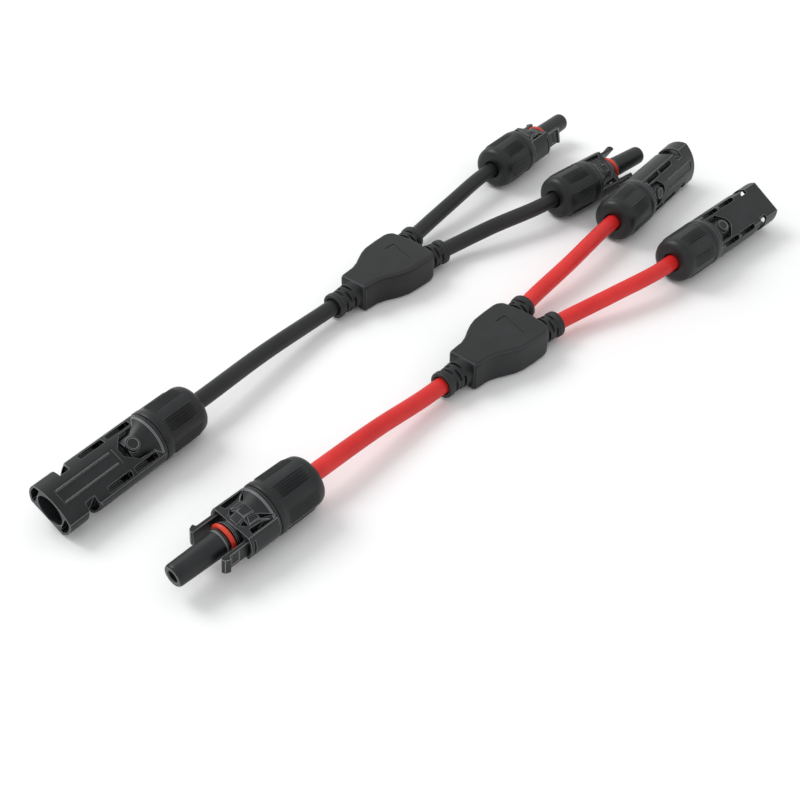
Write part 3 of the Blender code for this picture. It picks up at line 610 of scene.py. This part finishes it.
def shroud_body():
    shell = along(clipped_circle(SHROUD_RADIUS, SHROUD_HALF), 0.7, PLUG_FRONT)
    mouth = along(clipped_circle(SHROUD_RADIUS - 0.9, SHROUD_HALF - 0.9), 9.6, PLUG_FRONT + 1)
    cuts = [mouth]
    for low, high in ((2.2, 9.0), (-9.0, -2.2)):
        hollow = [(0.2, -7.3), (4.7, -4.55), (8.9, -4.45), (11.3, -2.7),
                  (11.3, 2.7), (8.9, 4.45), (4.7, 4.55), (0.2, 7.3)]
        cuts.append(standing(hollow, low, high))
        cuts += both(lambda side: standing(
            [(x, side * y) for x, y in ((9.9, 5.15), (10.4, 7.3), (1.3, 7.3), (4.4, 5.6))], low, high))
    cuts += both(lambda side: box((10.45, 11.2), sorted((side * 8.5, side * 10)), (-4.3, 4.3)))
    return cut(shell, *cuts)


def deep_corners():
    """The dark corners beside the cone and beside the ramp, above and below."""
    beside_cone = ((0.95, 6.84), (4.7, 4.55), (4.75, 4.5), (4.75, 3.1))
    beside_ramp = ((10.9, 2.35), (9.05, 1.9), (9.05, 4.3))
    return [standing([(x, side * y) for x, y in outline], low, high)
            for outline in (beside_cone, beside_ramp) for side in (1, -1)
            for low, high in ((3.4, 9.0), (-9.0, -3.4))]


def collar():
    """The flat-sided collar, its raised pads, and the ramp in front of it."""
    ring = along([(1.75, 6.6), (2.15, 6.2), (4.3, 5.25), (4.3, -5.25), (2.15, -6.2), (1.75, -6.6),
                  (-1.75, -6.6), (-2.15, -6.2), (-4.3, -5.25), (-4.3, 5.25), (-2.15, 6.2),
                  (-1.75, 6.6)], 4.8, 9.0)
    pads = []
    for above in (1, -1):
        top = ((5.2, -1.95), (5.2, 1.95), (8.9, 1.25), (8.9, -1.25))
        pads.append(standing(top, *sorted((above * 5.0, above * 7.05))))
        pads.append(pushed([(8.0, -1.5, above * 4.0), (8.0, -1.5, above * 6.7),
                            (9.0, -1.5, above * 6.7), (11.7, -1.5, above * 5.15),
                            (11.7, -1.5, above * 4.0)], (0, 3.0, 0)))
        for side in (1, -1):
            pad = [(5.0, side * 2.75), (7.9, side * 2.2), (8.7, side * 4.1), (5.0, side * 4.2)]
            tilted = [(x, y, above * (7.75 - 0.5 * abs(y))) for x, y in pad]
            pads.append(pushed(tilted, (0, 0, above * -1.6)))
    return ring, pads


def arm_slot(side):
    """The way that an arm takes out of the shroud, with room to bend inwards."""
    across = sorted((side * (LATCH_INNER - 0.6), side * (LATCH_INNER + LATCH_THICK + GAP)))
    return box((3.5, PLUG_FRONT + 1), across, (-LATCH_HALF - GAP, LATCH_HALF + GAP))


# %% Add the barrel, the probe and the bores
def make_plug_housing():
    ring, pads = collar()
    core = spun(core_profile(6.4, 6.1) + [
        (9.6, 6.0), (11.6, 5.5), (11.6, 4.95), (RING_PLACE - 2.0, 4.95), (RING_PLACE - 1.95, 5.2),
        (RING_PLACE - 1.25, 5.2), (RING_PLACE - 1.2, RING_SEAT), (RING_PLACE + 1.2, RING_SEAT),
        (RING_PLACE + 1.2, 4.5), (RING_PLACE + 2.0, 4.5), (RING_PLACE + 2.2, 4.25),
        (24.0, 4.1), (33.9, 3.9), (34.6, 3.8), (35.0, 3.6), (PROBE_TIP, 3.3), (PROBE_TIP, 0.0),
    ])
    housing = joined(shroud_body(), core)
    cut(housing, *deep_corners())
    joined(housing, ring)
    joined(housing, *pads)
    bore = spun(rear_bore() + [(32.7, CONTACT_RADIUS + GAP), (32.7, 2.15), (34.9, 2.15),
                               (PROBE_TIP + 0.1, 2.5), (PROBE_TIP + 1, 2.5),
                               (PROBE_TIP + 1, 0.0)], BORE_STEPS)
    cut(housing, bore, *both(arm_slot))
    return soften(joined(housing, tube_thread()))


place_on(PLUGS, make_plug_housing(), "housing", "black_plastic", lead_of)

# %% [markdown]
# ## Latch arms and sealing ring
# Each arm is a flat blade with a barb at its tip. Pressed towards the probe, both barbs
# leave their notches and the halves part. The ring is silicone rubber, round in section,
# stretched into a groove at the probe's root.

# %% Arms
LATCH_TIP = 22.3
LATCH_ROUND = 0.14


def make_arm(side):
    near, far = LATCH_INNER, LATCH_INNER + LATCH_THICK
    blade = [(3.9, near), (LATCH_TIP - 0.5, near), (LATCH_TIP, near + 0.6),
             (LATCH_TIP - 0.5, far + 0.45), (LATCH_TIP - 1.9, far + 1.08),
             (LATCH_TIP - 2.3, far + 1.08), (LATCH_TIP - 2.8, far), (3.9, far)]
    arm = standing([(x, side * y) for x, y in blade], -LATCH_HALF, LATCH_HALF)
    step = box((LATCH_TIP - 6.5, LATCH_TIP - 3.6), sorted((side * (far - 0.22), side * (far + 1))),
               (-LATCH_HALF + 0.9, LATCH_HALF - 0.9))
    return soften(cut(arm, step), LATCH_ROUND)


for side, label in ((1, "left"), (-1, "right")):
    place_on(PLUGS, make_arm(side), "latch_" + label, "black_plastic",
             lambda name, part=label: f"{name}_latch_{part}_body")

# %% Sealing ring
RING_RADIUS = 0.84
RING_MIDDLE = 4.7                # from the axis to the middle of the ring's section
RING_STEPS = 20
ring_section = [(RING_PLACE + RING_RADIUS * cos(turn), RING_MIDDLE + RING_RADIUS * sin(turn))
                for turn in (2 * pi * step / RING_STEPS for step in range(RING_STEPS))]
place_on(PLUGS, spun(ring_section, 96), "o_ring", "orange_rubber", lead_of)

# %% [markdown]
# ## The socket's housing
# The socket is a long block with an arched top. Its front is a full block with a round
# mouth and a slot each side for the arms. Behind it each side is notched, where the barbs
# spring out, and further back each side is a rail, opened by two windows whose floors fall
# to a deep square hole. Two thin ridges run along the top, and a recess that narrows
# towards the front holds a round boss.

# %% Outline and cutters
SOCKET_FRONT = 41.0
SOCKET_TOP = 6.4
SHOULDER = 3.8                   # where the round side meets the arched top
SOCKET_BOTTOM = 5.8
MOUTH = 5.4
INNER = 4.7
NOTCH = (29.2, 33.0)
WINDOWS = ((3.5, 13.1), (14.5, 24.3))
WINDOW_MIDDLE = 7.05
WINDOW_HALF = 0.95


def socket_outline():
    """Round sides, a flat bottom and an arched top, as (y, z) points."""
    low = atan2(-SOCKET_BOTTOM, sqrt(SHROUD_RADIUS ** 2 - SOCKET_BOTTOM ** 2))
    high = atan2(SHOULDER, sqrt(SHROUD_RADIUS ** 2 - SHOULDER ** 2))
    side = [(SHROUD_RADIUS * cos(turn), SHROUD_RADIUS * sin(turn))
            for turn in (low + (high - low) * step / 14 for step in range(15))]
    reach, drop = side[-1][0], SOCKET_TOP - SHOULDER
    arch_radius = (reach ** 2 + drop ** 2) / (2 * drop)
    arch = [(y, SOCKET_TOP - arch_radius + sqrt(arch_radius ** 2 - y ** 2))
            for y in (reach * (1 - step / 10) for step in range(1, 20))]
    return side + arch + [(-y, z) for y, z in reversed(side)]


def notch(side):
    """The barb's opening, with the rail's front end rounded behind it."""
    rear, front = NOTCH
    outline = [(front, 5.75), (front, 8.0), (front + 0.3, 8.7), (front + 0.9, 10.5),
               (rear - 2.6, 10.5), (rear - 2.3, 9.45), (rear - 1.2, 9.1), (rear - 0.4, 8.4),
               (rear, 7.4), (rear, 5.75)]
    return standing([(x, side * y) for x, y in outline], -10, 10)


def arm_way(side):
    """The slot through the front block that an arm enters, curved like the side."""
    outline = [(5.95, -4.4), (7.3, -4.4), (8.0, -3.2), (8.5, -1.5), (8.6, 0.0), (8.5, 1.5),
               (8.1, 2.9), (7.6, 3.6), (5.95, 4.3)]
    return along([(side * y, z) for y, z in outline], 27.4, SOCKET_FRONT + 1)


def window(side, rear, front):
    """A sloping recess in the rail, a deep hole at its rear end, and a slot underneath."""
    across = sorted((side * (WINDOW_MIDDLE - WINDOW_HALF), side * (WINDOW_MIDDLE + WINDOW_HALF)))
    slope = pushed([(rear, across[0], 1.6), (front, across[0], 3.3), (front, across[0], 9.0),
                    (rear, across[0], 9.0)], (0, across[1] - across[0], 0))
    hole = box((rear + 0.02, rear + 3.2), across, (-1.6, 3.0))
    underneath = box((rear, front), across, (-9, -2.6))
    return [slope, hole, underneath]


# %% Carve the socket
def pocket(side):
    """The recess over or under the cone, narrower towards the front."""
    outline = [(0.2, -5.6), (9.4, -5.3), (13.6, -1.5), (13.6, 1.5), (9.4, 5.3), (0.2, 5.6)]
    low, high = (3.6, 9.0) if side > 0 else (-9.0, -3.6)
    return standing(outline, low, high)


def boss(side):
    """The round boss in the recess, with a shallow dish in its top."""
    bm = bmesh.new()
    bmesh.ops.create_cone(bm, segments=48, cap_ends=True, radius1=2.6, radius2=2.45, depth=3.4)
    bmesh.ops.translate(bm, verts=bm.verts, vec=(8.5, 0, 5.4))
    button = solid("boss", bm)
    dish = bmesh.new()
    bmesh.ops.create_cone(dish, segments=48, cap_ends=True, radius1=1.85, radius2=1.95, depth=1.0)
    bmesh.ops.translate(dish, verts=dish.verts, vec=(8.5, 0, 7.4))
    cut(button, solid("dish", dish))
    if side < 0:
        button.data.transform(Matrix.Scale(-1, 4, (0, 0, 1)))
        button.data.flip_normals()
    return button


def ridge(side):
    """A thin raised line along the top."""
    middle = side * 2.3
    low, high = SOCKET_TOP - 1, SOCKET_TOP + 0.22
    return pushed([(16.4, middle - 0.42, low), (16.4, middle + 0.42, low),
                   (16.4, middle + 0.2, high), (16.4, middle - 0.2, high)], (21.4, 0, 0))


def make_socket_housing():
    shell = along(socket_outline(), 0.7, SOCKET_FRONT)
    trim = standing([(15.2, -3.9), (38.2, -3.9), (38.2, 3.9), (15.2, 3.9)], SOCKET_TOP - 0.34, 9)
    cut(shell, *both(pocket), trim)
    joined(shell, *both(ridge))
    core = spun(core_profile(6.6, 6.0) + [(10.9, 6.0), (10.9, 0.0)])
    joined(shell, core)
    joined(shell, *both(boss))
    bore = spun(rear_bore() + [(15.0, CONTACT_RADIUS + GAP), (15.0, INNER), (35.0, INNER), (36.0, MOUTH),
                               (40.4, MOUTH), (SOCKET_FRONT + 0.1, MOUTH + 0.3),
                               (SOCKET_FRONT + 1, MOUTH + 0.3), (SOCKET_FRONT + 1, 0.0)])
    cut(shell, bore, *both(notch), *both(arm_way))
    for side in (1, -1):
        for rear, front in WINDOWS:
            cut(shell, *window(side, rear, front))
    return soften(joined(shell, tube_thread()))


place_on(SOCKETS, make_socket_housing(), "housing", "black_plastic", lead_of)

# %% [markdown]
# ## Metal contacts
# The pin in each socket and the sleeve in each probe are turned and tin plated. They are
# seen down the bores, so they are spun finer than the model's, with a rounded pin tip.

# %% Pins and sleeves
CRIMP = [(7.3, 0.0), (7.3, 1.85), (1.2, 1.85), (1.2, 2.5), (1.3, 2.55), (8.0, 2.55),
         (8.0, 3.2), (9.2, 3.2), (9.2, CONTACT_RADIUS)]
PIN_RADIUS = 2.0
PIN_TIP = 33.0
DOME_STEPS = 8

pin_dome = [(PIN_TIP - PIN_RADIUS * (1 - sin(turn)), PIN_RADIUS * cos(turn))
            for turn in (pi / 2 * step / DOME_STEPS for step in range(DOME_STEPS))]
shank = [(16.5, CONTACT_RADIUS), (17.0, PIN_RADIUS)]
place_on(SOCKETS, spun(CRIMP + shank + pin_dome + [(PIN_TIP, 0.0)], BORE_STEPS),
         "pin", "tinned_copper", lead_of)
sleeve_end = [(32.25, CONTACT_RADIUS), (32.4, 2.35), (32.4, 2.2), (32.25, 2.1), (22.2, 2.1),
              (22.2, 0.0)]
place_on(PLUGS, spun(CRIMP + sleeve_end, BORE_STEPS), "contact", "tinned_copper", lead_of)

# %% [markdown]
# ## The junctions
# Each junction is moulded over the splice in one shot: a flat shield with a round boot on
# every cable. The boots are slotted in alternating rows so that they bend with the cable.
# The shield's edges are rounded, and a fine line is cut in its top face.

# %% Shield, boots and slots
SHIELD = [(11.0, 5.6), (11.9, 6.5), (15.0, 6.75), (18.0, 6.9), (21.5, 8.0), (24.8, 9.7),
          (28.0, 11.2), (31.5, 12.2), (37.5, 12.6), (43.0, 12.7), (44.6, 12.4), (45.6, 11.9),
          (46.6, 11.1), (47.2, 10.2), (48.3, 3.0)]
SHIELD_ROUND = 1.7
TRUNK_BOOT = 14.0
BRANCH_BOOT = 12.0
BOOT_RADIUS = 5.0
SLOT_ROWS = 3
SLOTS_IN_ROW = 4
ROW_STEP = 2.1
BOOT_STEPS = 64


def laid(thing, start, end):
    """Move a shape made along X so that it starts at one point and points at another."""
    turn = (end - start).to_track_quat("X", "Z").to_matrix().to_4x4()
    thing.data.transform(Matrix.Translation(start) @ turn)
    return thing


def shield():
    outline = SHIELD + [(x, -y) for x, y in reversed(SHIELD)]
    bm = bmesh.new()
    face = bm.faces.new([bm.verts.new((x, y, -JUNCTION_HALF_HEIGHT)) for x, y in outline])
    grown = bmesh.ops.extrude_face_region(bm, geom=[face])
    top = [item for item in grown["geom"] if isinstance(item, bmesh.types.BMVert)]
    bmesh.ops.translate(bm, verts=top, vec=(0, 0, 2 * JUNCTION_HALF_HEIGHT))
    rims = [edge for edge in bm.edges if abs(edge.verts[0].co.z - edge.verts[1].co.z) < 0.1]
    bmesh.ops.bevel(bm, geom=rims, offset=SHIELD_ROUND, segments=2, profile=0.5,
                     affect="EDGES", material=-1)
    return solid("shield", bm)


def boot(start, end):
    """A boot from its root to its mouth, with its slots."""
    long = (end - start).length
    sleeve = spun([(0, 0), (0, 5.3), (long - 9.6, 5.15), (long - 2.6, 4.55), (long - 2.3, 4.55),
                   (long - 2.1, BOOT_RADIUS), (long - 0.5, BOOT_RADIUS), (long - 0.15, 4.85),
                   (long, 4.5), (long, 0)], BOOT_STEPS)
    slots = []
    for row in range(SLOT_ROWS):
        rear, front = long - 4.2 - ROW_STEP * row, long - 3.0 - ROW_STEP * row
        for number in range(SLOTS_IN_ROW):
            slot = box((rear, front), (-2.5, 2.5), (3.85, 7.0))
            turn = 2 * pi * (number + 0.5 * (row % 2)) / SLOTS_IN_ROW
            slot.data.transform(Matrix.Rotation(turn, 4, "X"))
            slots.append(slot)
    cut(sleeve, *slots)
    return laid(sleeve, start, end)


# %% The line on top
TOP_LINE = ((35.6, 5.0), (40.4, 4.6), (37.2, -7.0))
LINE_HALF_WIDTH = 0.26
LINE_DEPTH = 0.4


def top_line():
    """The fine L-shaped line on the top face."""
    marks = []
    for start, end in (TOP_LINE[:2], TOP_LINE[1:]):
        a, b = Vector((*start, 0)), Vector((*end, 0))
        across = (b - a).normalized().cross(Vector((0, 0, 1))) * LINE_HALF_WIDTH
        corners = [a + across, b + across, b - across, a - across]
        marks.append(standing([(c.x, c.y) for c in corners], JUNCTION_HALF_HEIGHT - LINE_DEPTH,
                              JUNCTION_HALF_HEIGHT + 1))
    return marks


# %% The hollows inside
CABLE_BORE = 3.4
BOOT_MOUTH = 3.7
WIRE_BORE = 1.85
SPLICE_BORE = 4.55
SPLICE_END = 33.3
WIRE_STEPS = 32


def branch_hollows(side):
    """The bore of one branch cable, and the way from it to the splice for its bare wire."""
    inner = branch_point(side, BRANCH_JACKET_START - GAP)
    outer = branch_point(side, BRANCH_END[0] + 1)
    long = (outer - inner).length
    bore = spun([(0, 0), (0, CABLE_BORE), (long - 1.5, CABLE_BORE), (long - 1.1, BOOT_MOUTH),
                 (long, BOOT_MOUTH), (long, 0)], BORE_STEPS)
    outlet = Vector((SPLICE_END, side * 1.6, 0))
    leg = branch_point(side, BRANCH_JACKET_START)
    start = outlet - (leg - outlet).normalized()
    reach = (leg - start).length
    way = spun([(0, 0), (0, WIRE_BORE), (reach, WIRE_BORE), (reach, 0)], WIRE_STEPS)
    return [laid(bore, inner, outer), laid(way, start, leg)]


def junction_hollows():
    """The bores for the three cables, the splice and the bare wires between them."""
    trunk = spun([(-1, 0), (-1, BOOT_MOUTH), (0.1, BOOT_MOUTH), (0.5, CABLE_BORE),
                  (TRUNK_JACKET_END + GAP, CABLE_BORE), (TRUNK_JACKET_END + GAP, WIRE_BORE),
                  (23.7, WIRE_BORE), (23.7, SPLICE_BORE), (SPLICE_END, SPLICE_BORE),
                  (SPLICE_END, 0)], BORE_STEPS)
    return [trunk, *branch_hollows(1), *branch_hollows(-1)]


# %% Join, hollow and mark the junction
JUNCTION_MERGE = 0.08            # merged finely, the bevel throws spikes where boot meets shield
JUNCTION_ANGLE = 40              # only edges sharper than this are rounded


def make_junction():
    base = shield()
    boots = [(Vector((TRUNK_BOOT, 0, 0)), Vector((0, 0, 0)))]
    for side in (1, -1):
        boots.append((branch_point(side, BRANCH_END[0] - BRANCH_BOOT), branch_point(side, BRANCH_END[0])))
    for start, end in boots:
        joined(base, boot(start, end))
    cut(base, *junction_hollows())
    cut(base, *top_line())
    return soften(base, angle=JUNCTION_ANGLE, merge=JUNCTION_MERGE)


junction = make_junction()
for colour in JUNCTION_TURN:
    place(junction, colour + "_junction_overmould_shown", frames[colour], colour + "_lead",
          colour + "_junction_overmould", "black_rubber")
print("junction faces", len(junction.data.polygons))
bpy.data.objects.remove(junction, do_unlink=True)

# %% [markdown]
# ## Pieces kept from the model
# The seals, clamping cages, wire ends and splices are hidden inside, and the model's own
# solids are right for them. They only need their finishes.

# %% Finishes for the hidden pieces
slot_of = {part["node"]: part["material_slot"] for part in frame["record"]["subparts"]}
kept = [name for name, node in nodes.items() if not node.hide_render]
for name in kept:
    mesh = nodes[name].data
    mesh.materials.clear()
    mesh.materials.append(FINISHES[slot_of[name]])
print("kept from the model:", len(kept))

# %% [markdown]
# ## Table and light
# A pale table and one large soft lamp, high up and to the far left, which throws the
# shadows towards the lower right. The sky light fills them to a light grey.

# %% Table
TABLE_DROP = 0.02 * MM           # the table lies this far below the leads

table_mesh = bmesh.new()
bmesh.ops.create_grid(table_mesh, x_segments=1, y_segments=1, size=4.0)
table = solid("table", table_mesh)
table.location.z = -TABLE_DROP
table_finish = bpy.data.materials.new("table_finish")
table_finish.use_nodes = True
table_shader = table_finish.node_tree.nodes["Principled BSDF"]
table_shader.inputs["Base Color"].default_value = (0.93, 0.935, 0.94, 1.0)
table_shader.inputs["Roughness"].default_value = 0.65
table.data.materials.append(table_finish)

# %% Light
SKY = 0.84
LAMP_FROM = Vector((-0.25, 1.05, 1.15))
sky = bpy.data.worlds.new("sky")
sky.use_nodes = True
sky.node_tree.nodes["Background"].inputs["Color"].default_value = (1.0, 1.0, 1.0, 1.0)
sky.node_tree.nodes["Background"].inputs["Strength"].default_value = SKY
bpy.context.scene.world = sky
bpy.context.scene.view_settings.view_transform = "Standard"


def lamp(name, place_from, size, power):
    data = bpy.data.lights.new(name, "AREA")
    data.shape = "DISK"
    data.size = size
    data.energy = power
    light = bpy.data.objects.new(name, data)
    light.location = place_from
    light.rotation_euler = (-place_from).to_track_quat("-Z", "Y").to_euler()
    bpy.context.scene.collection.objects.link(light)


lamp("key_lamp", LAMP_FROM, 0.8, 11.0)
